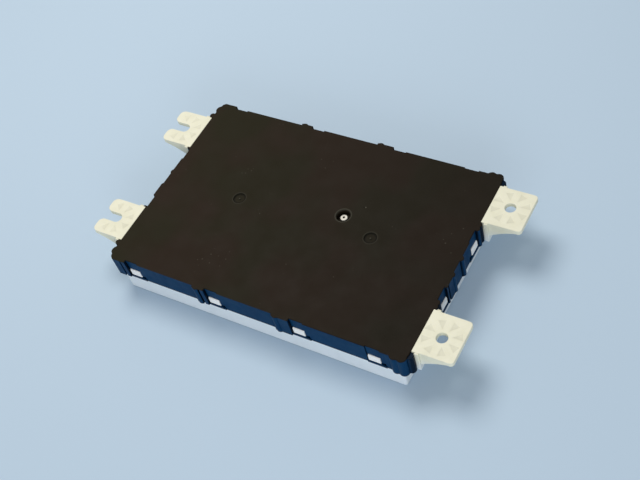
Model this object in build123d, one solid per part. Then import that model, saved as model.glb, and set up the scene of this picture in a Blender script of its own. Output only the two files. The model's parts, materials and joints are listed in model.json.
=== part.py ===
"""A flat-lying prismatic lithium-ion cell in its snap-together mounting case.

Millimetres, +Z up, +X towards the end with the round bolt holes, -Y towards the closed long side.
The origin is the centre of the case's underside. The cell inside has its lid towards +Y.
"""
import os
from math import cos, pi, sin

from build123d import *

# ---------------------------------------------------------------- driving dimensions
CASE_X = 200.0              # cover, end wall to end wall
CASE_Y = 132.0              # cover, bay face to bay face
CASE_Z = 30.0               # underside to top face
SPLIT_Z = 14.8              # parting line between tray and cover frame
CORNER_R = 5.0

TRAY_X, TRAY_Y = 192.0, 130.6   # outside of the tray's lower wall
TRAY_R = 1.6
FLOOR_T = 2.0
TRAY_WALL = 2.6
TONGUE_T = 1.8              # upstand of the tray inside the cover frame
TONGUE_Z = 23.95            # its top, where the tie bar rests
SLIP = 0.2                  # clearance between the tray's upstand and the cover frame

FRAME_INNER_X, FRAME_INNER_Y = 193.8, 126.4
CHANNEL_DEPTH = 0.6         # latch channels, below the bay face
POST_PROUD = 1.2            # flat posts, proud of the bay face
RIB_R = 2.6                 # half-round ribs
CHANNEL_W = 8.8
LATCH_W = 7.6
LATCH_Z0, LATCH_Z1 = 16.7, 21.6
LATCH_PROUD, LATCH_SLOPE, LATCH_SLOPE_Z = 0.1, 0.5, 20.9    # flush face, and the lead-in above it
BAR_Z1 = 16.4               # top of the loop's bar under each latch
BAR_PROUD = 0.45            # bar, proud of the bay face
BAR_PAST = 3.0              # bar, past one side of its channel
NOTCH_L, NOTCH_Z1, NOTCH_DEPTH = 2.6, 18.3, 2.0     # blind relief over the end of each bar
POST_SPANS = ((-97.5, -88.4), (-38.0, -30.0), (16.4, 27.6))     # flat posts of the long sides
GROOVE_W, GROOVE_BACK = 1.0, 3.4              # groove in the first two posts, and its place from their edge
END_POST = (-16.2, -7.2)                      # flat post of the end walls
END_GROOVE_Y = -14.2
LONG_LATCHES = (-84.0, -25.7, 31.9, 79.6)     # X places on both long sides
END_LATCHES = (-20.6, 20.6)                   # Y places on both ends
LEDGE_Z0, LEDGE_Z1 = 26.0, 27.4
LEDGE_INNER_X, LEDGE_INNER_Y = 178.0, 112.0

RIM_T = 0.8                 # edge thickness of the top panel
PANEL_UNDER_Z = 27.4
PANEL_FIT = 0.3
GATE_X, GATE_R, GATE_DEPTH = 45.4, 3.9, 0.9
SCREW_X, SCREW_Y = 22.6, 9.4
CUP_R, CUP_BORE_R, CUP_FLOOR_Z, CUP_UNDER_Z = 6.0, 4.2, 26.4, 25.5
PANEL_SCREW_R = 1.5         # M3
HEAD_R, HEAD_H = 2.45, 1.6

EJECTOR_R, MARK_DEPTH = 4.0, 0.25
FIELD_X, FIELD_Y = 42.0, 24.0

LUG_REACH = 123.7           # tip of every lug, from the centre
LUG_PLATE_T = 3.0
LUG_ROOT = 100.15
LUG_INNER = 94.9
HOLE_Y0, HOLE_Y1 = 31.4, 59.4     # width range of the lugs with holes
FORK_Y0, FORK_Y1 = 26.2, 53.2     # width range of the forked lugs
HOLE_R = 3.3                # M6 clearance
HOLE_X, HOLE_Y = 111.8, 46.2
SLOT_Y, SLOT_END_X = 39.7, -113.3
PRONG_R = 3.6               # corners of the fork's prongs
FLANGE_X0, FLANGE_X1 = 102.0, 104.3
FLANGE_PROUD = 1.0          # flange, past the lug's sides
GUSSET_T = 2.2
GUSSET_ROOT_Z, GUSSET_MID_Z, GUSSET_TIP_Z = 17.2, 23.4, 27.4
LUG_SIDE_IN = 0.3           # plate and gussets, in from the root's sides
LUG_CORNER_R = 2.2
LUG_UNDER_Z = 13.6
FLANGE_UNDER_Z = 14.4
POCKET_DEPTH = 0.3          # sinks between the lug's stiffening ribs
POCKET_IN, POCKET_OUT, POCKET_HALF, POCKET_SLOPE = 4.8, 11.2, 2.6, 60

CELL_X, CELL_Y, CELL_Z = 173.0, 85.0, 21.0    # standard cell, terminals left out
CELL_Y0 = -58.3             # its closed end
CELL_Z0 = 2.7
CELL_R = 2.5
CAN_T = 0.8
LID_T = 1.6
FILM_T = 0.2
TERMINAL_X = 56.0           # places of the poles, and of the cable screws in the back wall
POLE_R, SEAL_R = 3.0, 4.5
POLE_BLOCK_X, POLE_BLOCK_Z = 10.0, 7.0        # half sizes of the block on each pole
PLUG_X, PLUG_R = -24.0, 1.5                   # electrolyte filling hole
VENT_X, VENT_Z = 25.0, 12.0                   # burst disc
EXIT_Z = 14.0               # height of the cable screws
BLOCK_Z0, BLOCK_Z1 = 5.2, 22.8                # terminal blocks in the back wall
BLOCK_X = 14.0
SOCKET_Z0, SOCKET_Z1 = 7.2, 20.8              # sense socket in the back wall
SOCKET_X0, SOCKET_X1 = -9.0, 15.0
PIN_STEP, PIN_HALF = 3.28, 0.32
BUSBAR_T = 1.5
M5_R, M5_DRILL_R = 2.5, 2.55

CELL_Y1 = CELL_Y0 + CELL_Y
CELL_MID_Z = CELL_Z0 + CELL_Z / 2
BACK_FACE_Y = CASE_Y / 2
NODES = {}


# ---------------------------------------------------------------- small helpers
def block(x0, x1, y0, y1, z0, z1):
    """Box between two corners, given in any order."""
    return Pos((x0 + x1) / 2, (y0 + y1) / 2, (z0 + z1) / 2) * Box(abs(x1 - x0), abs(y1 - y0), abs(z1 - z0))


def slab(size_x, size_y, z0, z1, r, y_mid=0.0):
    """Plate with rounded corners, centred on X = 0."""
    return Pos(0, y_mid, z0) * extrude(RectangleRounded(size_x, size_y, r), z1 - z0)


def rod_z(x, y, z0, z1, r):
    return Pos(x, y, (z0 + z1) / 2) * Cylinder(r, z1 - z0)


def rod_y(x, z, y0, y1, r):
    return Pos(x, (y0 + y1) / 2, z) * Rot(90, 0, 0) * Cylinder(r, y1 - y0)


def along_y(sketch, y0, y1, x=0.0, z=0.0):
    """Sketch drawn in X and Z, carried from y0 to y1."""
    return Pos(x, y1, z) * Rot(90, 0, 0) * extrude(sketch, y1 - y0)


def fuse(parts):
    result = parts[0]
    for part in parts[1:]:
        result = result + part
    return result


def cut(shape, tools):
    for tool in tools:
        shape = shape - tool
    return shape


def keep(name, shape):
    NODES[name] = shape
    return shape


def lobed_recess(r, z0, z1):
    """Six-lobed driver recess along Z."""
    lobe = r * 0.34
    places = [(r * 0.74 * cos(k * pi / 3), r * 0.74 * sin(k * pi / 3)) for k in range(6)]
    return fuse([rod_z(0, 0, z0, z1, r * 0.72)] + [rod_z(x, y, z0, z1, lobe) for x, y in places])


# ---------------------------------------------------------------- case outline
def lug_zones(margin, x_inner):
    """Boxes over the four lug roots, with a margin to each side of the lug."""
    zones = []
    beyond = LUG_REACH + 2
    for x0, extra in ((x_inner, margin), (FLANGE_X0 - margin, margin + FLANGE_PROUD)):
        for side in (1, -1):
            zones.append(block(x0, beyond, side * (HOLE_Y0 - extra), side * (HOLE_Y1 + extra), -1, 31))
            zones.append(block(-x0, -beyond, side * (FORK_Y0 - extra), side * (FORK_Y1 + extra), -1, 31))
    return zones


def channel_boxes(depth_extra, width, z0, z1):
    """Boxes at every latch, reaching in from outside by the channel depth plus an extra."""
    boxes = []
    reach = CHANNEL_DEPTH + depth_extra
    for side in (1, -1):
        for x in LONG_LATCHES:
            inner, outer = side * (CASE_Y / 2 - reach), side * (CASE_Y / 2 + 4)
            boxes.append(block(x - width / 2, x + width / 2, inner, outer, z0, z1))
        for y in END_LATCHES:
            inner, outer = side * (CASE_X / 2 - reach), side * (CASE_X / 2 + 4)
            boxes.append(block(inner, outer, y - width / 2, y + width / 2, z0, z1))
    return boxes


def outline_posts(z0, z1):
    """Flat posts, half-round ribs and corner bulges that stand proud of the bays."""
    half_x, half_y = CASE_X / 2, CASE_Y / 2
    posts = []
    for side in (1, -1):
        face = side * (half_y + POST_PROUD)
        inner = side * (half_y - 2)
        for x0, x1 in POST_SPANS:
            posts.append(block(x0, x1, inner, face, z0, z1))
        for x in (-35.6, 18.9):
            posts.append(rod_z(x, side * (half_y - 0.6), z0, z1, RIB_R))
        for x, proud, r in ((92.6, 1.7, 3.0), (96.8, 1.7, 3.0), (-96.4, POST_PROUD, 3.0)):
            posts.append(rod_z(x, side * (half_y + proud - r), z0, z1, r))
        posts.append(block(91.4, 97.6, inner, face, z0, z1))
        for y, r in ((29.6, 2.3), (26.6, 1.9)):
            posts.append(rod_z(half_x + 1.6 - r, side * y, z0, z1, r))
        for y, proud, r in ((55.3, 2.7, 1.9), (61.2, 1.3, 3.2)):
            posts.append(rod_z(-half_x - proud + r, side * y, z0, z1, r))
        posts.append(block(-half_x - 1.6, -half_x + 2, side * 24.9, side * 26.0, z0, z1))
    for side in (1, -1):
        wall = side * half_x
        posts.append(block(wall - 2 * side, wall + 0.9 * side, *END_POST, z0, z1))
        for y in (4.6, END_POST[1]):
            posts.append(rod_z(wall - side * (0.3 if side > 0 else 0.9), y, z0, z1, 1.9))
    return posts


def corner_lobes(z0, z1):
    """Half-round lobes of the cover frame beside the lugs with holes, not covered by the panel."""
    return [rod_z(CASE_X / 2, side * (HOLE_Y1 + 2.6), z0, z1, 2.4) for side in (1, -1)]


def case_outline(z0, z1):
    """Prism of the cover's outside: bays, posts and latch channels."""
    body = slab(CASE_X, CASE_Y, z0, z1, CORNER_R)
    body = fuse([body] + outline_posts(z0, z1))
    body = cut(body, channel_boxes(0, CHANNEL_W, z0 - 1, z1 + 1))
    return body


# ---------------------------------------------------------------- tray with lugs
def pocket_fan(x, y, sectors):
    """Shallow three-cornered sinks that point at a hole, one in each of the given eighths round it."""
    corners = ((POCKET_IN, 0), (POCKET_OUT, -POCKET_HALF), (POCKET_OUT, POCKET_HALF))
    sink = extrude(make_face(Polyline(*corners, close=True)), -POCKET_DEPTH, taper=POCKET_SLOPE)
    return [Pos(x, y, CASE_Z) * Rot(0, 0, 45 * (k + 0.5)) * sink for k in sectors]


def gusset(y):
    """Upright web under a lug, with a hollow curved lower edge."""
    tip_x = LUG_REACH - LUG_CORNER_R
    root, tip = (FLANGE_X0 + 0.5, GUSSET_ROOT_Z), (tip_x, GUSSET_TIP_Z)
    middle = ((FLANGE_X0 + tip_x) / 2, GUSSET_MID_Z)
    sides = Polyline(tip, (tip_x, CASE_Z - 1), (FLANGE_X0 + 0.5, CASE_Z - 1), root)
    return along_y(make_face(sides + ThreePointArc(root, middle, tip)), y - GUSSET_T / 2, y + GUSSET_T / 2)


def lug_base(y0, y1):
    """Root block, upright flange, plate and gussets shared by every lug, drawn on the +X, +Y corner."""
    root = block(LUG_INNER, FLANGE_X0 + 0.5, y0, y1, LUG_UNDER_Z, CASE_Z - RIM_T - 0.1)
    top = block(LUG_ROOT, FLANGE_X1, y0, y1, CASE_Z - LUG_PLATE_T, CASE_Z)
    flange = block(FLANGE_X0, FLANGE_X1, y0 - FLANGE_PROUD, y1 + FLANGE_PROUD, FLANGE_UNDER_Z, CASE_Z - 0.2)
    cores = [block(LUG_INNER - 1, LUG_INNER + 3.2, y, y + 5.2, 24.2, 28.0)
             for y in (y0 + 3.0, y0 + 10.9, y0 + 18.8)]
    inset = LUG_SIDE_IN + GUSSET_T / 2
    webs = [gusset(y0 + inset), gusset(y1 - inset)]
    return cut(fuse([root, top, flange] + webs), cores)


def hole_lug():
    """Lug with a round hole, on the +X, +Y corner."""
    y_mid = (HOLE_Y0 + HOLE_Y1) / 2
    plate_x0 = FLANGE_X1 - 4
    outline = Pos((plate_x0 + LUG_REACH) / 2, y_mid) * RectangleRounded(
        LUG_REACH - plate_x0, HOLE_Y1 - HOLE_Y0 - 2 * LUG_SIDE_IN, LUG_CORNER_R)
    plate = Pos(0, 0, CASE_Z - LUG_PLATE_T) * extrude(outline, LUG_PLATE_T)
    plate = cut(plate, [block(90, LUG_ROOT, 0, 90, 0, 40)])
    lug = lug_base(HOLE_Y0, HOLE_Y1) + plate
    return cut(lug, pocket_fan(HOLE_X, HOLE_Y, range(8)) + [rod_z(HOLE_X, HOLE_Y, 20, 40, HOLE_R)])


def fork_lug():
    """Lug with an open slot, drawn on the +X, +Y corner and mirrored over to -X."""
    y_mid = (FORK_Y0 + FORK_Y1) / 2
    slot_x = -SLOT_END_X
    prong_w = (FORK_Y1 - FORK_Y0) / 2 - LUG_SIDE_IN - HOLE_R
    plate_x0 = FLANGE_X1 - 4
    prongs = []
    for y0 in (FORK_Y0 + LUG_SIDE_IN, FORK_Y1 - LUG_SIDE_IN - prong_w):
        prongs.append(Pos((plate_x0 + LUG_REACH) / 2, y0 + prong_w / 2) * RectangleRounded(
            LUG_REACH - plate_x0, prong_w, PRONG_R))
    plate_w = FORK_Y1 - FORK_Y0 - 2 * LUG_SIDE_IN
    bridge = Pos((plate_x0 + slot_x) / 2, y_mid) * Rectangle(slot_x - plate_x0, plate_w)
    outline = fuse(prongs + [bridge])
    plate = Pos(0, 0, CASE_Z - LUG_PLATE_T) * extrude(outline, LUG_PLATE_T)
    plate = cut(plate, [block(90, LUG_ROOT, 0, 90, 0, 40)])
    lug = lug_base(FORK_Y0, FORK_Y1) + plate
    tip_cut = block(LUG_REACH - PRONG_R, LUG_REACH + 1, FORK_Y0 - 1, FORK_Y1 + 1, 0, CASE_Z - LUG_PLATE_T)
    slot = block(slot_x, LUG_REACH + 2, SLOT_Y - HOLE_R, SLOT_Y + HOLE_R, 20, 40)
    lug = cut(lug, [tip_cut, slot, rod_z(slot_x, SLOT_Y, 20, 40, HOLE_R)])
    lug = cut(lug, pocket_fan(slot_x, SLOT_Y, range(1, 7)))
    return mirror(lug, Plane.YZ)


def latch_wedges():
    """Wedge catches on the tray's upstand: flat underneath, sloped on the outside."""
    wedges = []
    tongue_face = FRAME_INNER_Y / 2 - SLIP
    out = CASE_Y / 2 + LATCH_PROUD

    def wedge(face, tip):
        profile = make_face(Polyline((face - 0.8, LATCH_Z0), (tip, LATCH_Z0), (tip, LATCH_SLOPE_Z),
                                     (tip - LATCH_SLOPE, LATCH_Z1), (face - 0.8, LATCH_Z1), close=True))
        return Rot(0, 0, 90) * along_y(profile, -LATCH_W / 2, LATCH_W / 2)

    for x in LONG_LATCHES:
        back = Pos(x, 0, 0) * wedge(tongue_face, out)
        wedges += [back, mirror(back, Plane.XZ)]
    end_face = FRAME_INNER_X / 2 - SLIP
    end_out = CASE_X / 2 + LATCH_PROUD
    for y in END_LATCHES:
        right = Pos(0, y, 0) * Rot(0, 0, -90) * wedge(end_face, end_out)
        wedges += [right, mirror(right, Plane.YZ)]
    return wedges


def back_windows(margin):
    """Openings in the back wall for the two terminal blocks and the sense socket."""
    spans = [(x - BLOCK_X, x + BLOCK_X, BLOCK_Z0, BLOCK_Z1) for x in (-TERMINAL_X, TERMINAL_X)]
    spans.append((SOCKET_X0, SOCKET_X1, SOCKET_Z0, SOCKET_Z1))
    return [block(x0 - margin, x1 + margin, 55, 75, z0 - margin, z1 + margin) for x0, x1, z0, z1 in spans]


def underside_marks():
    """Ejector marks and a plain sunk field under the floor."""
    marks = [rod_z(x, y, -1, MARK_DEPTH, EJECTOR_R) for x in (-84, -30, 30, 84) for y in (-54, 0, 54)]
    field = slab(FIELD_X, FIELD_Y, -1, MARK_DEPTH, 2.5, y_mid=-26)
    return marks + [field]


def tray():
    tub = slab(TRAY_X, TRAY_Y, 0, SPLIT_Z, TRAY_R)
    tub = tub - slab(TRAY_X - 2 * TRAY_WALL, TRAY_Y - 2 * 3.5, FLOOR_T, SPLIT_Z + 1, 2.5)
    tub = chamfer(tub.faces().sort_by(Axis.Z)[0].outer_wire().edges(), 0.6)
    tongue_x, tongue_y = FRAME_INNER_X - 2 * SLIP, FRAME_INNER_Y - 2 * SLIP
    tongue = slab(tongue_x, tongue_y, SPLIT_Z - 0.6, TONGUE_Z, 3.0)
    tongue = tongue - slab(tongue_x - 2 * TONGUE_T, tongue_y - 2 * TONGUE_T, 10, TONGUE_Z + 1, 1.5)
    beyond_wall = slab(220, 160, SPLIT_Z - 1, SPLIT_Z, 2) - slab(TRAY_X, TRAY_Y, SPLIT_Z - 2, SPLIT_Z + 1, 4)
    tongue = tongue - beyond_wall
    lugs = [hole_lug(), mirror(hole_lug(), Plane.XZ), fork_lug(), mirror(fork_lug(), Plane.XZ)]
    pillar = block(SCREW_X - 6, SCREW_X + 6, 31.5, 38.5, FLOOR_T - 0.5, TONGUE_Z)
    peg = rod_z(SCREW_X, 35.0, TONGUE_Z - 1, 25.3, 2.0)
    stops = [block(s * 76, s * 84, CELL_Y1 + 0.15, CELL_Y1 + 3.4, FLOOR_T - 0.5, 20) for s in (1, -1)]
    body = fuse([tub, tongue] + lugs + latch_wedges() + [pillar, peg] + stops)
    return keep("tray", cut(body, back_windows(0.15) + underside_marks()))


# ---------------------------------------------------------------- cover
def loop_bars_and_notches():
    """Bars that hook under the catches, and the relief notch beside the end of each bar."""
    bars, notches = [], []
    for side in (1, -1):
        half_y, half_x = CASE_Y / 2, CASE_X / 2
        for x in LONG_LATCHES:
            y_in, y_out = side * (half_y - NOTCH_DEPTH), side * (half_y + BAR_PROUD)
            left, right = x - CHANNEL_W / 2, x + CHANNEL_W / 2
            bars.append(block(left, right + BAR_PAST, y_in, y_out, SPLIT_Z, BAR_Z1))
            notches.append(block(right - 0.5, right + NOTCH_L, y_in, side * CASE_Y, BAR_Z1, NOTCH_Z1))
        for y in END_LATCHES:
            x_in, x_out = side * (half_x - NOTCH_DEPTH), side * (half_x + BAR_PROUD)
            low, high = y - CHANNEL_W / 2, y + CHANNEL_W / 2
            bars.append(block(x_in, x_out, low - BAR_PAST, high, SPLIT_Z, BAR_Z1))
            notches.append(block(x_in, side * CASE_X, low - NOTCH_L, low + 0.5, BAR_Z1, NOTCH_Z1))
    return bars, notches


def post_grooves(top):
    """Upright grooves in the flat posts."""
    grooves = []
    for side in (1, -1):
        for x0, x1 in POST_SPANS[:2]:
            x = x1 - GROOVE_BACK
            y_in = side * (CASE_Y / 2 + 0.2)
            grooves.append(block(x - GROOVE_W / 2, x + GROOVE_W / 2, y_in, side * CASE_Y, SPLIT_Z - 1, top + 1))
        x_in = side * (CASE_X / 2 + 0.1)
        y0, y1 = END_GROOVE_Y - GROOVE_W / 2, END_GROOVE_Y + GROOVE_W / 2
        grooves.append(block(x_in, side * CASE_X, y0, y1, SPLIT_Z - 1, top + 1))
    return grooves


def cover_frame():
    top = CASE_Z - RIM_T
    walls = case_outline(SPLIT_Z, top) - slab(FRAME_INNER_X, FRAME_INNER_Y, SPLIT_Z - 1, top + 1, 3.2)
    ledge = slab(FRAME_INNER_X + 0.4, FRAME_INNER_Y + 0.4, LEDGE_Z0, LEDGE_Z1, 3.2)
    ledge = ledge - slab(LEDGE_INNER_X, LEDGE_INNER_Y, LEDGE_Z0 - 1, LEDGE_Z1 + 1, 2.0)
    frame = walls + ledge
    bars, notches = loop_bars_and_notches()
    lobes = [lobe - slab(CASE_X - 4, CASE_Y, 0, 40, 1) for lobe in corner_lobes(SPLIT_Z, top)]
    frame = fuse([frame] + bars + lobes)
    windows = channel_boxes(4, LATCH_W + 0.5, BAR_Z1, LATCH_Z1 + 0.3)
    frame = cut(frame, windows + notches + post_grooves(top))
    frame = cut(frame, lug_zones(0.25, LUG_INNER - 0.2) + back_windows(0.15))
    return keep("cover_frame", frame)


def top_panel():
    top = CASE_Z - RIM_T
    rim = cut(case_outline(top, CASE_Z), lug_zones(0.1, CASE_X / 2))
    plug = slab(FRAME_INNER_X - 2 * PANEL_FIT, FRAME_INNER_Y - 2 * PANEL_FIT, PANEL_UNDER_Z, top, 3.0)
    plug = cut(plug, lug_zones(0.4, LUG_INNER - 0.3))
    cup = rod_z(SCREW_X, SCREW_Y, CUP_UNDER_Z, PANEL_UNDER_Z + 0.2, CUP_R)
    panel = fuse([rim, plug, cup])
    mouth = Pos(SCREW_X, SCREW_Y, CASE_Z - 0.25) * Cone(CUP_BORE_R, CUP_BORE_R + 0.55, 0.5)
    tools = [rod_z(SCREW_X, SCREW_Y, CUP_FLOOR_Z, CASE_Z + 1, CUP_BORE_R),
             rod_z(SCREW_X, SCREW_Y, 20, CASE_Z, PANEL_SCREW_R + 0.2), mouth]
    for side in (1, -1):
        dimple = rod_z(side * GATE_X, 0, CASE_Z - GATE_DEPTH, CASE_Z + 1, GATE_R)
        nub = rod_z(side * GATE_X, 0, CASE_Z - 2, CASE_Z - GATE_DEPTH + 0.5, 0.55)
        tools.append(dimple - nub)
    return keep("top_panel", cut(panel, tools))


def panel_screw():
    head_z = CUP_FLOOR_Z + HEAD_H
    head = rod_z(0, 0, CUP_FLOOR_Z, head_z, HEAD_R)
    head = fillet(head.faces().sort_by(Axis.Z)[-1].edges(), 0.6)
    shank = rod_z(0, 0, 24.25, CUP_FLOOR_Z + 0.2, PANEL_SCREW_R)
    screw = (head + shank) - lobed_recess(0.87, head_z - 0.9, head_z + 1)
    return keep("panel_screw", Pos(SCREW_X, SCREW_Y, 0) * screw)


def tie_bar():
    bar = slab(14, 103.4, TONGUE_Z, 25.4, 2.0, y_mid=-11.3)
    bar = Pos(SCREW_X, 0, 0) * bar
    holes = [rod_z(SCREW_X, SCREW_Y, 20, 30, PANEL_SCREW_R + 0.05), rod_z(SCREW_X, 35.0, 20, 30, 2.1)]
    return keep("tie_bar", cut(bar, holes))


# ---------------------------------------------------------------- cell
def cell_section(inset):
    return RectangleRounded(CELL_X - 2 * inset, CELL_Z - 2 * inset, max(CELL_R - inset, 0.5))


def cell_can():
    outer = along_y(cell_section(0), CELL_Y0, CELL_Y1, z=CELL_MID_Z)
    inner = along_y(cell_section(CAN_T), CELL_Y0 + CAN_T, CELL_Y1 + 1, z=CELL_MID_Z)
    return keep("cell_can", outer - inner)


def can_film():
    outer = along_y(cell_section(-FILM_T), CELL_Y0 - FILM_T, CELL_Y1 - 2, z=CELL_MID_Z)
    inner = along_y(cell_section(0), CELL_Y0, CELL_Y1 + 1, z=CELL_MID_Z)
    return keep("can_film", outer - inner)


def vent_shape(length, height, y0, y1):
    return along_y(SlotOverall(length, height), y0, y1, z=CELL_MID_Z)


def cell_lid():
    lid = along_y(cell_section(CAN_T), CELL_Y1 - LID_T, CELL_Y1, z=CELL_MID_Z)
    tools = [rod_y(s * TERMINAL_X, CELL_MID_Z, 0, 50, SEAL_R) for s in (1, -1)]
    tools += [vent_shape(VENT_X - 3, VENT_Z - 3, 0, 50), vent_shape(VENT_X, VENT_Z, CELL_Y1 - 0.6, 50),
              rod_y(PLUG_X, CELL_MID_Z, 0, 50, PLUG_R)]
    return keep("cell_lid", cut(lid, tools))


def lid_fittings():
    vent = vent_shape(VENT_X, VENT_Z, CELL_Y1 - 0.6, CELL_Y1 - 0.25)
    score = vent_shape(18, 6, CELL_Y1 - 0.35, CELL_Y1) - vent_shape(17, 5, 0, 50)
    keep("vent_disc", vent - score)
    keep("vent_film", vent_shape(VENT_X, VENT_Z, CELL_Y1 - 0.2, CELL_Y1 - 0.05))
    stem = rod_y(PLUG_X, CELL_MID_Z, CELL_Y1 - LID_T, CELL_Y1, PLUG_R)
    keep("fill_plug", stem + rod_y(PLUG_X, CELL_MID_Z, CELL_Y1, CELL_Y1 + 0.4, 2.4))


def lid_insulator():
    plate = along_y(RectangleRounded(CELL_X - 5, CELL_Z - 4, 1.5), 22.6, CELL_Y1 - LID_T, z=CELL_MID_Z)
    tools = [rod_y(s * TERMINAL_X, CELL_MID_Z, 0, 50, SEAL_R) for s in (1, -1)]
    tools += [vent_shape(20, 8, 0, 50), rod_y(PLUG_X, CELL_MID_Z, 0, 50, 2.0)]
    return keep("lid_insulator", cut(plate, tools))


def terminal_set(name, side):
    """Pole, seal, outer insulator and inner collector of one terminal."""
    x = side * TERMINAL_X
    half_x, half_z = POLE_BLOCK_X, POLE_BLOCK_Z
    z0, z1 = CELL_MID_Z - half_z, CELL_MID_Z + half_z
    base = block(x - half_x, x + half_x, CELL_Y1 + 1.0, CELL_Y1 + 4.0, z0, z1)
    base = fillet(base.edges().filter_by(Axis.Y), 1.2)
    keep(name + "_terminal", base + rod_y(x, CELL_MID_Z, 21.2, CELL_Y1 + 1.5, POLE_R))
    seal = rod_y(x, CELL_MID_Z, 22.6, CELL_Y1, SEAL_R) - rod_y(x, CELL_MID_Z, 0, 50, POLE_R)
    keep(name + "_seal", seal)
    rim = 1.2
    tray_block = block(x - half_x - rim, x + half_x + rim, CELL_Y1, CELL_Y1 + 2.0, z0 - rim, z1 + rim)
    seat = block(x - half_x - 0.05, x + half_x + 0.05, CELL_Y1 + 1.0, 50, z0 - 0.05, z1 + 0.05)
    keep(name + "_insulator", (tray_block - seat) - rod_y(x, CELL_MID_Z, 0, 50, POLE_R))
    edge = side * 81.6
    upright = block(edge, edge - side * 1.2, -48, 22.6, z0, z1)
    tab = block(edge, x - side * 9, 21.4, 22.6, z0, z1)
    keep(name + "_collector", (upright + tab) - rod_y(x, CELL_MID_Z, 0, 50, POLE_R))


def jelly_rolls():
    """Two flat windings, one above the other, wound about X, each in a separator's outer turn."""
    for name, z in (("lower", CELL_MID_Z - 4.8), ("upper", CELL_MID_Z + 4.8)):
        roll = Rot(0, 90, 0) * Rot(0, 0, 90) * extrude(SlotOverall(76, 9.2), 160)
        keep("jelly_roll_" + name, Pos(-80, -18.6, z) * roll)


# ---------------------------------------------------------------- padding and supports
def padding():
    thermal = slab(164, 78, FLOOR_T, CELL_Z0 - FILM_T, 1.5, y_mid=-16)
    keep("thermal_pad", thermal)
    foam_z0, foam_z1 = CELL_Z0 + CELL_Z + FILM_T, PANEL_UNDER_Z - 0.1
    for name, x0, x1 in (("left", -84, SCREW_X - 7.6), ("right", SCREW_X + 7.6, 84)):
        pad = block(x0, x1, -54, 22, foam_z0, foam_z1)
        keep("foam_pad_" + name, fillet(pad.edges().filter_by(Axis.Z), 2))
    for name, side in (("left", -1), ("right", 1)):
        keep("end_pad_" + name, block(side * 86.8, side * 93.3, -54, 20, FLOOR_T + 0.2, 23))
    keep("front_pad", block(-80, 80, -61.0, -58.6, FLOOR_T + 0.2, 21))


# ---------------------------------------------------------------- electrical exit at the back
def busbar_shape(side, grow):
    """Copper strip from a cell terminal to its screw at the back, or its slightly larger envelope."""
    x = side * TERMINAL_X
    g = grow
    y0, y1, z0 = CELL_Y1 + 4.0, 52.0, 7.2
    face = block(x - 9 - g, x + 9 + g, y0 - g, y0 + BUSBAR_T + g, z0 - g, 19.4 + g)
    leg = block(x - 9 - g, x + 9 + g, y0 - g, y1 + g, z0 - g, z0 + BUSBAR_T + g)
    end = block(x - 7 - g, x + 7 + g, y1 - BUSBAR_T - g, y1 + g, z0 - g, 20.4 + g)
    return fuse([face, leg, end])


def terminal_exit(name, side):
    """Insulating block in the back wall with a threaded insert, busbar and cable screw."""
    x, z = side * TERMINAL_X, EXIT_Z
    body = block(x - BLOCK_X, x + BLOCK_X, 42, BACK_FACE_Y, BLOCK_Z0, BLOCK_Z1)
    pocket = block(x - 10.5, x + 10.5, 52, BACK_FACE_Y + 1, BLOCK_Z0 + 2, BLOCK_Z1 - 1.9)
    insert_hole = rod_y(x, z, 43.5, 53, 4.0)
    keep(name + "_terminal_block", cut(body, [pocket, insert_hole, busbar_shape(side, 0.05)]))
    keep(name + "_insert", rod_y(x, z, 44.5, 50.45, 4.0) - rod_y(x, z, 40, 60, M5_DRILL_R))
    keep(name + "_busbar", busbar_shape(side, 0) - rod_y(x, z, 40, 60, 2.75))
    head = rod_y(0, 0, 52, 55.2, 4.3)
    head = fillet(head.faces().sort_by(Axis.Y)[-1].edges(), 0.6)
    screw = (head + rod_y(0, 0, 45, 52.2, M5_R)) - along_y(RegularPolygon(1.7, 6), 53.2, 56)
    keep(name + "_cable_screw", Pos(x, 0, z) * screw)


def sense_parts():
    """Measuring board, its socket in the back wall, and the thermistor against the cell lid."""
    wall = 1.8
    body = block(SOCKET_X0, SOCKET_X1, 47.4, BACK_FACE_Y, SOCKET_Z0, SOCKET_Z1)
    z0, z1 = SOCKET_Z0 + wall, SOCKET_Z1 - wall
    body = body - block(SOCKET_X0 + wall, SOCKET_X1 - wall, 51, BACK_FACE_Y + 1, z0, z1)
    pins, holes = [], []
    for k in range(6):
        for z in (12.0, 16.0):
            x = (SOCKET_X0 + SOCKET_X1) / 2 + PIN_STEP * (k - 2.5)
            half, gap = PIN_HALF, PIN_HALF + 0.02
            pins.append(block(x - half, x + half, 44.6, 60, z - half, z + half))
            holes.append(block(x - gap, x + gap, 44, 61, z - gap, z + gap))
    keep("sense_socket", cut(body, holes))
    keep("sense_pins", Compound(children=pins))
    board = block(-36, 36, 45.6, 47.2, 4.0, 22.6)
    keep("sense_board", cut(board, holes))
    chips = [block(-32, -20, 44.2, 45.6, 8, 18), block(20, 28, 44.4, 45.6, 10, 16)]
    keep("board_chips", Compound(children=chips))
    strip = block(-14.6, -9.4, CELL_Y1 + 0.05, CELL_Y1 + 0.35, 10, 22.4)
    strip = strip + block(-14.6, -9.4, CELL_Y1 + 0.05, 45.6, 22.1, 22.4)
    keep("thermistor_strip", strip)
    keep("thermistor", block(-13.6, -10.4, CELL_Y1 + 0.35, CELL_Y1 + 1.9, 11, 15.4))


def sense_links():
    """Nickel strips from each busbar to the measuring board."""
    for name, side in (("positive", -1), ("negative", 1)):
        flat = block(side * 34, side * 46.8, 40.2, 41.2, 9.5, 13.5)
        foot = block(side * 34, side * 36, 40.2, 45.6, 9.5, 13.5)
        riser = block(side * 46.8, side * 48.6, 40.2, 41.2, 8.7, 13.5)
        keep(name + "_sense_link", fuse([flat, foot, riser]))


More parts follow.
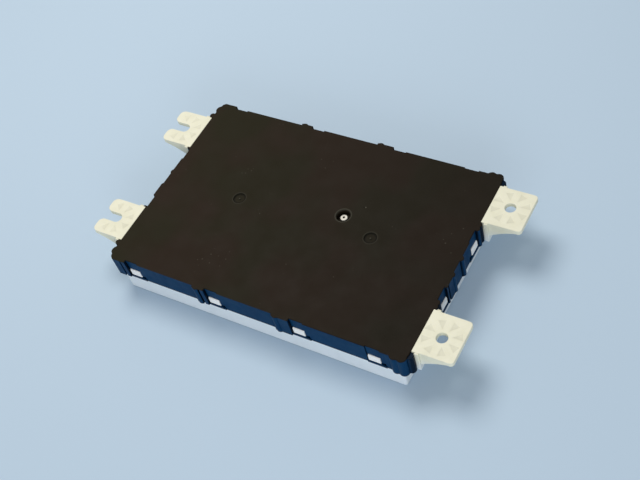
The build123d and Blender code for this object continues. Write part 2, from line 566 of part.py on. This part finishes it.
# ---------------------------------------------------------------- build and write
tray()
cover_frame()
top_panel()
panel_screw()
tie_bar()
cell_can()
can_film()
cell_lid()
lid_fittings()
lid_insulator()
terminal_set("positive", -1)
terminal_set("negative", 1)
jelly_rolls()
padding()
terminal_exit("positive", -1)
terminal_exit("negative", 1)
sense_parts()
sense_links()

os.makedirs("parts", exist_ok=True)
for node, shape in NODES.items():
    export_step(shape, f"parts/{node}.step")
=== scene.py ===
"""Looks of the prismatic cell in its mounting case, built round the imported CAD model. Metres, +Z up."""
import json
from math import cos, radians, sin

import bmesh
import bpy
from mathutils import Matrix, Vector


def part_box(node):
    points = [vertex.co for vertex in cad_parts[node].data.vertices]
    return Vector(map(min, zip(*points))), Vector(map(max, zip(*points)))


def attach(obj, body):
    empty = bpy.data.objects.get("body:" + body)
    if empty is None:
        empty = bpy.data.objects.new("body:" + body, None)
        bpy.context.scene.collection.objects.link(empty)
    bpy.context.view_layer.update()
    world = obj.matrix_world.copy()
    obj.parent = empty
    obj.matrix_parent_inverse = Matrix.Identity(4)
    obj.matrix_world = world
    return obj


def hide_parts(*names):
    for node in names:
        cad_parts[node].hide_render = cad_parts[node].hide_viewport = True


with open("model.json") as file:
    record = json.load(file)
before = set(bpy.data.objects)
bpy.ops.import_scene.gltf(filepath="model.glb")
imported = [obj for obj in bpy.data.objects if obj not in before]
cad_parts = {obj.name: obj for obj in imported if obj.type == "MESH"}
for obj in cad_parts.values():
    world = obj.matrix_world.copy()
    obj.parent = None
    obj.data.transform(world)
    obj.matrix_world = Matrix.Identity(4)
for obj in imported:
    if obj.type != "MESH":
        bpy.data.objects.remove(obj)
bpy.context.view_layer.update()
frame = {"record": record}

MM = 0.001

# Places on the case that its finishes follow, in mm
BAY_X, BAY_Y = 100.0, 66.0          # outer faces of the dark wall's bays
CORNER_X, CORNER_Y = 90.0, 58.0     # where the wall's corners begin, past its last channels
WALL_FOOT = 15.5                    # top of the shadowed strip along the wall's lower edge
CATCH_Z0, CATCH_Z1 = 16.0, 22.0     # height range of the white catches
BOUNCE_TOP, BOUNCE_FADE = 19.0, 6.0     # the tray's painted cool bounce light turns to cream about this height
TOP_Z, POCKET_DEPTH = 30.0, 0.3     # top face of panel and lugs, and depth of the sinks in the lugs
GATE_X, GATE_R = 45.4, 3.9          # the panel's two gate dimples, each side of its middle
MOUTH_R = 4.7                       # chamfer round the panel screw's bore
LOBES_Y, LOBE_HALF = (29.2, 61.6), 2.8      # the wall's lobes at both ends, beside the lugs
SCREW_AT = (Vector(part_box("panel_screw")[0]) + Vector(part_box("panel_screw")[1])) / 2 / MM


# ---------------------------------------------------------------- camera, lights and floor
def look_matrix(eye, target, roll_deg):
    """Camera matrix looking from eye to target, turned about its own axis."""
    back = (eye - target).normalized()
    right = Vector((0, 0, 1)).cross(back).normalized()
    up = back.cross(right)
    turned = Matrix.Rotation(radians(roll_deg), 4, "Z")
    base = Matrix((right, up, back)).transposed().to_4x4()
    return Matrix.Translation(eye) @ base @ turned


def make_camera(azimuth=43.54, elevation=50.37, roll=-18.84, distance=0.6255, lens=58.97):
    """Camera beside and above the case. Angles in degrees, distance in metres, lens in mm."""
    target = Vector((0.0096, -0.0024, 0.015))
    az, el = radians(azimuth), radians(elevation)
    away = Vector((sin(az) * cos(el), -cos(az) * cos(el), sin(el)))
    data = bpy.data.cameras.new("camera")
    data.lens = lens
    data.sensor_width = 36.0
    data.clip_start = 0.01
    camera = bpy.data.objects.new("camera", data)
    camera.matrix_world = look_matrix(target + away * distance, target, roll)
    bpy.context.scene.collection.objects.link(camera)
    bpy.context.scene.camera = camera


def soft_light(name, place, size, watts, colour):
    """Round lamp at a place, aimed at the middle of the floor."""
    data = bpy.data.lights.new(name, "AREA")
    data.shape = "DISK"
    data.size = size
    data.energy = watts
    data.color = colour
    light = bpy.data.objects.new(name, data)
    light.matrix_world = look_matrix(Vector(place), Vector((0, 0, 0)), 0)
    bpy.context.scene.collection.objects.link(light)


def make_studio():
    world = bpy.data.worlds.new("studio")
    world.use_nodes = True
    sky = world.node_tree.nodes["Background"]
    sky.inputs["Color"].default_value = (0.90, 0.95, 1.0, 1)
    sky.inputs["Strength"].default_value = 0.42
    bpy.context.scene.world = world
    soft_light("key", (-0.35, 0.25, 0.95), 0.6, 6.2, (1.0, 0.97, 0.91))
    soft_light("fill", (0.55, -0.95, 0.36), 0.7, 4.6, (0.90, 0.95, 1.0))
    scene = bpy.context.scene
    scene.view_settings.view_transform = "Standard"
    scene.view_settings.look = "None"


def make_floor(half=3.0, gap=0.0002):
    """Pale blue floor, a hair below the case so that the two don't flicker."""
    mesh = bpy.data.meshes.new("floor")
    corners = [(-half, -half, 0), (half, -half, 0), (half, half, 0), (-half, half, 0)]
    mesh.from_pydata(corners, [], [(0, 1, 2, 3)])
    floor = bpy.data.objects.new("floor", mesh)
    bpy.context.scene.collection.objects.link(floor)
    floor.location.z = -gap
    mat, _, shader = new_material("floor_pale")
    shader.inputs["Base Color"].default_value = (0.52, 0.64, 0.76, 1)
    shader.inputs["Roughness"].default_value = 0.9
    shader.inputs["Specular IOR Level"].default_value = 0.2
    mesh.materials.append(mat)


# ---------------------------------------------------------------- material tools
def srgb(r, g, b):
    """Colour given in 0 to 255, as Blender's linear values."""
    def linear(v):
        v /= 255
        return v / 12.92 if v <= 0.04045 else ((v + 0.055) / 1.055) ** 2.4
    return (linear(r), linear(g), linear(b), 1)


def darker(colour, share):
    """The colour at a share of its brightness."""
    return tuple(c * share for c in colour[:3]) + (1,)


def new_material(name):
    mat = bpy.data.materials.new(name)
    mat.use_nodes = True
    tree = mat.node_tree
    return mat, tree, tree.nodes["Principled BSDF"]


def add(tree, kind, props=None, **inputs):
    """New node. An input goes by name, or by number as i0, and is a value or another node's output."""
    node = tree.nodes.new(kind)
    for key, value in (props or {}).items():
        setattr(node, key, value)
    for key, value in inputs.items():
        socket = node.inputs[int(key[1:])] if key[0] == "i" and key[1:].isdigit() else node.inputs[key]
        if isinstance(value, bpy.types.NodeSocket):
            tree.links.new(value, socket)
        else:
            socket.default_value = value
    return node


def place_of(tree, stretch=None):
    """Place on the object in metres, scaled along each axis by stretch."""
    place = add(tree, "ShaderNodeTexCoord").outputs["Object"]
    if stretch:
        place = add(tree, "ShaderNodeMapping", Vector=place, Scale=stretch).outputs["Vector"]
    return place


def noise_of(tree, size_mm, detail=3.0, rough=0.55, stretch=None):
    """Noise with grains of about size_mm, fixed to the object."""
    return add(tree, "ShaderNodeTexNoise", Vector=place_of(tree, stretch), Scale=1.0 / (size_mm * MM),
               Detail=detail, Roughness=rough).outputs["Fac"]


def remap(tree, value, low, high, to_low=0.0, to_high=1.0):
    """The value with low to high spread over to_low to to_high, and held at those beyond."""
    node = add(tree, "ShaderNodeMapRange", Value=value)
    for key, number in (("From Min", low), ("From Max", high), ("To Min", to_low), ("To Max", to_high)):
        node.inputs[key].default_value = number
    return node.outputs["Result"]


def times(tree, a, b):
    return add(tree, "ShaderNodeMath", {"operation": "MULTIPLY"}, i0=a, i1=b).outputs[0]


def inverse(tree, value):
    return add(tree, "ShaderNodeMath", {"operation": "SUBTRACT"}, i0=1.0, i1=value).outputs[0]


def blend_colour(tree, factor, a, b):
    return add(tree, "ShaderNodeMix", {"data_type": "RGBA"}, i0=factor, i6=a, i7=b).outputs[2]


def facing(tree, axis):
    """How squarely the surface faces along an axis, either way: 0 to 1."""
    part = add(tree, "ShaderNodeSeparateXYZ", Vector=add(tree, "ShaderNodeTexCoord").outputs["Normal"])
    return add(tree, "ShaderNodeMath", {"operation": "ABSOLUTE"}, i0=part.outputs[axis]).outputs[0]


def beyond(tree, axis, limit_mm, soft_mm=0.4):
    """Mask of the surface further than limit_mm from the middle along an axis, either way."""
    part = add(tree, "ShaderNodeSeparateXYZ", Vector=place_of(tree))
    away = add(tree, "ShaderNodeMath", {"operation": "ABSOLUTE"}, i0=part.outputs[axis]).outputs[0]
    return remap(tree, away, (limit_mm - soft_mm) * MM, (limit_mm + soft_mm) * MM)


def ring(tree, x_mm, y_mm, radius_mm, soft_mm):
    """Mask of an upright round band about a point, fading over soft_mm to both sides of its radius."""
    spot = add(tree, "ShaderNodeVectorMath", {"operation": "MULTIPLY"}, i0=place_of(tree), i1=(1, 1, 0))
    away = add(tree, "ShaderNodeVectorMath", {"operation": "DISTANCE"}, i0=spot.outputs[0],
               i1=(x_mm * MM, y_mm * MM, 0))
    off = add(tree, "ShaderNodeMath", {"operation": "SUBTRACT"}, i0=away.outputs["Value"], i1=radius_mm * MM)
    off = add(tree, "ShaderNodeMath", {"operation": "ABSOLUTE"}, i0=off.outputs[0])
    return remap(tree, off.outputs[0], 0.3 * soft_mm * MM, soft_mm * MM, 1.0, 0.0)


def between(tree, axis, low_mm, high_mm, soft_mm=0.4):
    """Mask of the surface whose distance from the middle along an axis is in a range."""
    inner = beyond(tree, axis, low_mm, soft_mm)
    return times(tree, inner, inverse(tree, beyond(tree, axis, high_mm, soft_mm)))


def painted_corner_shade(tree, colour, reach_mm, dark, low=0.35, high=0.9):
    """Colour darkened towards dark where the piece's own surfaces close in: painted shade in grooves and
    corners, found by an ambient-occlusion node.
    """
    open_share = add(tree, "ShaderNodeAmbientOcclusion", {"samples": 8, "only_local": True},
                     Distance=reach_mm * MM).outputs["AO"]
    return blend_colour(tree, remap(tree, open_share, low, high), dark, colour)


def bumps(tree, shader, *layers):
    """Chain of bumps on the shader's normal, each given as (height, height in mm, strength)."""
    normal = None
    for height, height_mm, strength in layers:
        bump = add(tree, "ShaderNodeBump", Height=height, Distance=height_mm * MM, Strength=strength)
        if normal:
            tree.links.new(normal, bump.inputs["Normal"])
        normal = bump.outputs["Normal"]
    tree.links.new(normal, shader.inputs["Normal"])


def varied_roughness(tree, shader, base, swing, size_mm):
    """Roughness that wanders about its base in patches of about size_mm."""
    level = remap(tree, noise_of(tree, size_mm), 0.3, 0.7, base - swing, base + swing)
    tree.links.new(level, shader.inputs["Roughness"])


def specks(tree, spacing_mm, radius_mm, share, shift=(0, 0, 0), depth=1):
    """Mask of rare round specks, one to a cell at most. With depth 0 the cells are upright columns."""
    offset = tuple(s * MM for s in shift)
    moved = add(tree, "ShaderNodeMapping", Vector=place_of(tree, (1, 1, depth)), Location=offset)
    cells = add(tree, "ShaderNodeTexVoronoi", Vector=moved.outputs["Vector"], Scale=1 / (spacing_mm * MM))
    reach = radius_mm / spacing_mm
    spot = remap(tree, cells.outputs["Distance"], 0.6 * reach, reach, 1.0, 0.0)
    pick = add(tree, "ShaderNodeSeparateColor", Color=cells.outputs["Color"]).outputs[0]
    return times(tree, spot, remap(tree, pick, 1 - share, 1.01 - share))


# ---------------------------------------------------------------- materials
RIM_HIGHLIGHT = srgb(66, 63, 54)        # painted highlight on edges of the dark panel: the screw bore's rim, the gate dimples' rims and middles
HOLLOW_SHADE = srgb(10, 9, 7)         # painted shade in its deep corners and inside its gate dimples


def moulded(name, colour, other, roughness, patch_mm, grain_mm=0.35, grain_height=0.02):
    """Moulded plastic: two close colours in soft patches, a fine spark-eroded grain, and painted shade in
    its corners.
    """
    mat, tree, shader = new_material(name)
    patches = remap(tree, noise_of(tree, patch_mm), 0.35, 0.65)
    body = blend_colour(tree, patches, colour, other)
    # painted shade: corners darkened towards half the colour
    tree.links.new(painted_corner_shade(tree, body, 1.5, darker(colour, 0.5)), shader.inputs["Base Color"])
    varied_roughness(tree, shader, roughness, 0.06, patch_mm * 0.4)
    bumps(tree, shader, (noise_of(tree, grain_mm, 2.0), grain_height, 0.5))
    return mat


def metal(name, colour, roughness, stretch, line_mm):
    """Bare metal with fine lines in one direction, a few dull patches, and painted shade in its corners."""
    mat, tree, shader = new_material(name)
    shader.inputs["Metallic"].default_value = 1.0
    lines = noise_of(tree, line_mm, detail=4.0, stretch=stretch)
    dull = remap(tree, noise_of(tree, 9.0, detail=4.0), 0.5, 0.72, 0.0, 0.45)
    body = blend_colour(tree, lines, darker(colour, 0.8), colour)
    body = blend_colour(tree, dull, body, darker(colour, 0.62))
    # painted shade in corners
    tree.links.new(painted_corner_shade(tree, body, 1.0, darker(colour, 0.4)), shader.inputs["Base Color"])
    lined = remap(tree, lines, 0.3, 0.7, roughness - 0.08, roughness + 0.08)
    level = add(tree, "ShaderNodeMath", {"operation": "ADD"}, i0=lined, i1=times(tree, dull, 0.3))
    tree.links.new(level.outputs[0], shader.inputs["Roughness"])
    bumps(tree, shader, (lines, 0.01, 0.3))
    return mat


def foam(name, colour, pore_mm=0.8):
    """Open-cell foam: pores of uneven size, painted dark as the shade in them, in a matt body."""
    mat, tree, shader = new_material(name)
    wobble = add(tree, "ShaderNodeTexNoise", Vector=place_of(tree), Scale=1 / (2 * pore_mm * MM))
    shift = add(tree, "ShaderNodeVectorMath", {"operation": "SCALE"},
                Vector=wobble.outputs["Color"], Scale=0.5 * MM)
    place = add(tree, "ShaderNodeVectorMath", {"operation": "ADD"}, i0=place_of(tree), i1=shift.outputs[0])
    cells = add(tree, "ShaderNodeTexVoronoi", Vector=place.outputs[0], Scale=1 / (pore_mm * MM))
    pores = cells.outputs["Distance"]
    tone = blend_colour(tree, noise_of(tree, 12.0), colour, darker(colour, 0.84))
    # painted shade: the pores are darkened to three tenths of the colour
    body = blend_colour(tree, remap(tree, pores, 0.1, 0.5), darker(colour, 0.3), tone)
    tree.links.new(body, shader.inputs["Base Color"])
    shader.inputs["Roughness"].default_value = 0.95
    shader.inputs["Specular IOR Level"].default_value = 0.15
    bumps(tree, shader, (pores, 0.18, 0.8))
    return mat


def case_white(name):
    """Cream glass-filled plastic: faint mottling, fine grain, a few dark specks; painted blue bounce light
    low on the tray, painted highlights on the catches, painted shade on the sink floors and in corners.
    """
    mat, tree, shader = new_material(name)
    patches = remap(tree, noise_of(tree, 7.0, detail=4.0), 0.3, 0.7)
    cream = blend_colour(tree, patches, srgb(239, 235, 212), srgb(231, 227, 202))
    # painted blue bounce light: a cool copy of the cream for the tray's lower band
    blue_bounce = blend_colour(tree, patches, srgb(230, 235, 238), srgb(224, 230, 234))
    body = blend_colour(tree, beyond(tree, "Z", BOUNCE_TOP, BOUNCE_FADE), blue_bounce, cream)
    # painted highlight: the catches' outward faces are painted near white, lighter than the cream
    for outward in (beyond(tree, "Y", BAY_Y - 0.8, 0.2), between(tree, "X", BAY_X - 0.8, BAY_X + 1.2, 0.2)):
        catch_highlight = times(tree, between(tree, "Z", CATCH_Z0, CATCH_Z1, 0.5), outward)
        body = blend_colour(tree, catch_highlight, body, srgb(250, 247, 243))
    # painted shade on the flat floors of the lugs' shallow sinks, in uneven patches
    sink_floor_shade = between(tree, "Z", TOP_Z - 1.4 * POCKET_DEPTH, TOP_Z - 0.5 * POCKET_DEPTH, 0.07)
    flat = remap(tree, facing(tree, "Z"), 0.6, 0.8)
    uneven = remap(tree, noise_of(tree, 5.0), 0.3, 0.7, 0.2, 0.6)
    body = blend_colour(tree, times(tree, times(tree, flat, sink_floor_shade), uneven), body, srgb(208, 205, 184))
    body = blend_colour(tree, specks(tree, 9.0, 0.3, 0.25), body, srgb(176, 168, 146))
    # painted shade in corners, towards a grey
    tree.links.new(painted_corner_shade(tree, body, 1.0, srgb(190, 196, 192), 0.2, 0.7), shader.inputs["Base Color"])
    shader.inputs["Subsurface Weight"].default_value = 0.06
    shader.inputs["Subsurface Radius"].default_value = (0.002, 0.002, 0.0015)
    shader.inputs["Subsurface Scale"].default_value = 0.5
    shader.inputs["Specular IOR Level"].default_value = 0.35
    varied_roughness(tree, shader, 0.46, 0.07, 3.0)
    bumps(tree, shader, (noise_of(tree, 0.4, 2.0), 0.02, 0.35), (noise_of(tree, 9.0, 2.0), 0.12, 0.15))
    return mat


def case_navy(name):
    """Dark blue moulded wall, with painted shade that makes its channel flanks, lobes, lower edge and
    corners almost black.
    """
    mat, tree, shader = new_material(name)
    patches = remap(tree, noise_of(tree, 16.0, detail=3.0), 0.3, 0.7)
    body = blend_colour(tree, patches, srgb(4, 46, 80), srgb(8, 54, 88))
    flow = remap(tree, noise_of(tree, 3.0, 3.0, stretch=(1, 1, 0.12)), 0.45, 0.75, 0.0, 0.35)
    body = blend_colour(tree, flow, body, srgb(16, 60, 90))
    # painted shade: near-black laid where shade falls on the wall
    shade_navy = srgb(3, 7, 14)
    # painted shade on the faces that turn along the wall, beside its channels, short of its corners
    walls = (("X", CORNER_X, "Y", BAY_Y - 2), ("Y", CORNER_Y, "X", BAY_X - 2.5))
    for along, corner_mm, outward, wall_mm in walls:
        sideways = remap(tree, facing(tree, along), 0.55, 0.9, 0.0, 0.85)
        flank_shade = times(tree, sideways, beyond(tree, outward, wall_mm))
        before_corner = inverse(tree, beyond(tree, along, corner_mm))
        body = blend_colour(tree, times(tree, flank_shade, before_corner), body, shade_navy)
    # painted shade on the lobes beside the lugs
    for y_mm in LOBES_Y:
        lobe_shade = between(tree, "Y", y_mm - LOBE_HALF, y_mm + LOBE_HALF)
        lobe_shade = times(tree, lobe_shade, beyond(tree, "X", BAY_X - 0.8))
        body = blend_colour(tree, times(tree, lobe_shade, 0.8), body, shade_navy)
    # painted shade along the wall's lower edge, above the tray
    foot_shade = inverse(tree, beyond(tree, "Z", WALL_FOOT, 0.3))
    body = blend_colour(tree, times(tree, foot_shade, 0.8), body, shade_navy)
    # painted shade in corners
    body = painted_corner_shade(tree, body, 3.0, shade_navy, 0.45, 0.72)
    tree.links.new(body, shader.inputs["Base Color"])
    shader.inputs["Specular IOR Level"].default_value = 0.04
    varied_roughness(tree, shader, 0.42, 0.07, 5.0)
    bumps(tree, shader, (noise_of(tree, 0.45, 2.0), 0.02, 0.4))
    return mat


def panel_dark(name):
    """Brown-black moulded face: slow olive and umber patches, pits with a painted glint, dust and a few fine
    scuffs; a painted sheen from left to right, painted shade in corners and dimples, painted highlights on
    rims.
    """
    mat, tree, shader = new_material(name)
    # painted sheen: the face is painted lighter towards its left end and darker towards its right
    along = add(tree, "ShaderNodeSeparateXYZ", Vector=place_of(tree)).outputs["X"]
    sheen_sweep = remap(tree, along, -BAY_X * MM, BAY_X * MM)
    patches = remap(tree, noise_of(tree, 40.0, detail=1.0), 0.40, 0.60)
    left = blend_colour(tree, patches, srgb(39, 36, 21), srgb(45, 34, 25))
    right = blend_colour(tree, patches, srgb(29, 25, 17), srgb(33, 25, 18))
    body = blend_colour(tree, sheen_sweep, left, right)
    fine = remap(tree, noise_of(tree, 0.7, detail=3.0), 0.35, 0.7, 0.0, 0.5)
    body = blend_colour(tree, fine, body, srgb(37, 31, 23))
    scuffs = remap(tree, noise_of(tree, 6.0, 6.0, 0.7, stretch=(0.12, 1, 1)), 0.66, 0.74, 0.0, 0.14)
    body = blend_colour(tree, scuffs, body, srgb(66, 60, 50))
    # small pits: a painted glint as a light speck, with a dark speck beside it
    body = blend_colour(tree, specks(tree, 17.0, 0.5, 0.2, depth=0), body, srgb(112, 108, 96))
    body = blend_colour(tree, specks(tree, 17.0, 0.6, 0.2, (1.0, 0.4, 0), depth=0), body, srgb(14, 13, 10))
    dusty = remap(tree, noise_of(tree, 26.0, detail=1.0), 0.60, 0.68)
    dust = times(tree, specks(tree, 2.6, 0.5, 0.35, depth=0), dusty)
    body = blend_colour(tree, times(tree, dust, 0.5), body, srgb(84, 80, 70))
    # painted shade in corners
    body = painted_corner_shade(tree, body, 1.6, HOLLOW_SHADE, 0.3, 0.85)
    # painted rings: highlight on the screw bore's chamfer; shade inside each gate dimple, highlight on its
    # rim and its middle
    painted_rings = [(ring(tree, SCREW_AT.x, SCREW_AT.y, MOUTH_R, 0.8), 0.8, RIM_HIGHLIGHT)]
    for x_mm in (-GATE_X, GATE_X):
        painted_rings.append((ring(tree, x_mm, 0, GATE_R - 0.5, 0.9), 0.7, HOLLOW_SHADE))
        painted_rings.append((ring(tree, x_mm, 0, GATE_R + 0.3, 0.6), 0.35, RIM_HIGHLIGHT))
        painted_rings.append((ring(tree, x_mm, 0, 0, 0.9), 0.8, RIM_HIGHLIGHT))
    near_top = beyond(tree, "Z", TOP_Z - 1)
    for mask, share, tone in painted_rings:
        body = blend_colour(tree, times(tree, times(tree, mask, near_top), share), body, tone)
    tree.links.new(body, shader.inputs["Base Color"])
    shader.inputs["Specular IOR Level"].default_value = 0.06
    varied_roughness(tree, shader, 0.56, 0.06, 11.0)
    bumps(tree, shader, (noise_of(tree, 0.55, detail=3.0), 0.03, 0.5),
          (noise_of(tree, 30.0, detail=1.0), 0.3, 0.08))
    return mat


def board_green(name):
    """Solder mask with a faint grid of tracks."""
    mat, tree, shader = new_material(name)
    tracks = add(tree, "ShaderNodeTexBrick", Vector=place_of(tree), Scale=1 / (9 * MM),
                 Color1=srgb(16, 84, 48), Color2=srgb(12, 72, 42), Mortar=srgb(60, 128, 74))
    tracks.inputs["Mortar Size"].default_value = 0.012
    tree.links.new(tracks.outputs["Color"], shader.inputs["Base Color"])
    varied_roughness(tree, shader, 0.35, 0.05, 4.0)
    return mat


# Every material slot, with the function that makes its material and what that is given after the name
FINISHES = {
    "case_white": (case_white,),
    "case_navy": (case_navy,),
    "panel_dark": (panel_dark,),
    "zinc_steel": (metal, srgb(180, 177, 169), 0.46, (1, 3, 1), 0.5),
    "aluminium": (metal, srgb(206, 208, 210), 0.34, (0.06, 1, 1), 0.5),
    "copper": (metal, srgb(206, 128, 92), 0.30, (1, 0.08, 1), 0.4),
    "nickel": (metal, srgb(190, 186, 176), 0.28, (0.1, 1, 1), 0.4),
    "brass": (metal, srgb(206, 168, 98), 0.28, (1, 6, 1), 0.3),
    "seal_rubber": (moulded, srgb(24, 24, 25), srgb(32, 32, 33), 0.75, 3),
    "insulator_black": (moulded, srgb(30, 30, 32), srgb(38, 37, 37), 0.5, 6),
    "terminal_red": (moulded, srgb(150, 44, 30), srgb(136, 36, 26), 0.45, 6),
    "film_blue": (moulded, srgb(24, 70, 150), srgb(30, 80, 162), 0.22, 25, 3.0, 0.05),
    "clear_film": (moulded, srgb(206, 196, 160), srgb(196, 180, 132), 0.25, 5, 2.0, 0.03),
    "electrode": (moulded, srgb(232, 232, 228), srgb(222, 222, 220), 0.4, 12, 1.5, 0.04),
    "foam_grey": (foam, srgb(112, 114, 117)),
    "gap_pad": (moulded, srgb(150, 162, 186), srgb(140, 152, 178), 0.55, 8, 0.8, 0.05),
    "board_green": (board_green,),
    "chip_black": (moulded, srgb(28, 28, 30), srgb(34, 34, 36), 0.4, 2, 0.15, 0.01),
}

# Edge rounding in mm, for the nodes seen from outside or with the panel lifted
EDGE_MM = {
    "tray": 0.22, "cover_frame": 0.3, "top_panel": 0.25, "tie_bar": 0.2,
    "foam_pad_left": 0.6, "foam_pad_right": 0.6, "end_pad_left": 0.6, "end_pad_right": 0.6, "front_pad": 0.4,
    "positive_busbar": 0.2, "negative_busbar": 0.2,
    "positive_terminal_block": 0.3, "negative_terminal_block": 0.3,
    "positive_terminal": 0.3, "negative_terminal": 0.3, "positive_insulator": 0.2, "negative_insulator": 0.2,
    "sense_socket": 0.3, "board_chips": 0.15, "cell_lid": 0.1,
}
BODY_OF = {node: body for body, nodes in frame["record"]["behaviour"]["bodies"].items() for node in nodes}
SLOT_OF = {part["node"]: part["material_slot"] for part in frame["record"]["subparts"]}


# ---------------------------------------------------------------- meshes
WELD = 0.001 * MM               # points closer than this are one, where two CAD faces meet
SAME_SLOPE = radians(0.6)       # faces that differ less than this in slope become one
SHARP_TURN = radians(58)        # edges that turn more than this are rounded
RUNS_ON = radians(40)           # an edge that bends less than this at a point runs on through it
SIDE_ROOM, END_ROOM = 2.0, 2.3  # shortest edges beside and along a rounding, in its widths
SLIVER = 0.01 * MM              # edges shorter than this are taken out after rounding
CREASE = radians(40)            # edges that turn less than this are shaded as one curve
FLAT_AREA = 12 * MM * MM        # faces larger than this are flat, and keep their own normals
WIDE_FACE_PULL = 90             # how far wide faces set the normals beside them, out of 100


def cleaned_copy(node):
    """The node's mesh with its seams welded and its flat faces made whole."""
    shape = bmesh.new()
    shape.from_mesh(bpy.data.objects[node].data)
    bmesh.ops.remove_doubles(shape, verts=shape.verts, dist=WELD)
    bmesh.ops.dissolve_limit(shape, angle_limit=SAME_SLOPE, verts=shape.verts, edges=shape.edges)
    return shape


def has_room(vert, sharp, width):
    """Whether a rounding of this width fits round the corner point."""
    own = [e for e in vert.link_edges if e in sharp]
    if any(e.calc_length() < SIDE_ROOM * width for e in vert.link_edges if e not in sharp):
        return False
    if len(own) == 2:
        turn = (own[0].other_vert(vert).co - vert.co).angle(vert.co - own[1].other_vert(vert).co)
        if turn < RUNS_ON:
            return True
    return all(e.calc_length() > END_ROOM * width for e in own)


def round_edges(shape, width, segments=3):
    """Round the edges that turn sharply, where the faces beside them are wide enough."""
    sharp = {e for e in shape.edges if e.is_manifold and e.calc_face_angle() > SHARP_TURN}
    roomy = {v for v in shape.verts if has_room(v, sharp, width)}
    chosen = [e for e in sharp if roomy.issuperset(e.verts)]
    bmesh.ops.bevel(shape, geom=chosen, offset=width, offset_type="OFFSET", segments=segments, profile=0.5,
                    affect="EDGES", clamp_overlap=False, miter_outer="SHARP", loop_slide=False)
    bmesh.ops.remove_doubles(shape, verts=shape.verts, dist=SLIVER)
    bmesh.ops.dissolve_degenerate(shape, edges=shape.edges, dist=SLIVER)


def stand_in(node, shape):
    """Visible piece made from a mesh, which takes the node's place, body and finish."""
    mesh = bpy.data.meshes.new(node + "_shell")
    shape.to_mesh(mesh)
    shape.free()
    mesh.shade_smooth()
    mesh.set_sharp_from_angle(angle=CREASE)
    for face in mesh.polygons:
        face.use_smooth = face.area < FLAT_AREA
    piece = bpy.data.objects.new(node + "_shell", mesh)
    bpy.context.scene.collection.objects.link(piece)
    weights = piece.modifiers.new("weights", "WEIGHTED_NORMAL")
    weights.keep_sharp = True
    weights.weight = WIDE_FACE_PULL
    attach(piece, BODY_OF[node])
    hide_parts(node)
    mesh.materials.append(made[SLOT_OF[node]])


def dress_nodes():
    """Give every CAD node the finish of its material slot."""
    for node, slot in SLOT_OF.items():
        piece = bpy.data.objects[node]
        for place in piece.material_slots:
            place.material = made[slot]
        if not piece.material_slots:
            piece.data.materials.append(made[slot])


def soften_nodes():
    """Show the nodes that have an edge width by copies with rounded edges."""
    for node, width in EDGE_MM.items():
        shape = cleaned_copy(node)
        round_edges(shape, width * MM)
        stand_in(node, shape)


make_camera()
make_studio()
make_floor()
made = {slot: make(slot, *given) for slot, (make, *given) in FINISHES.items()}
dress_nodes()
soften_nodes()
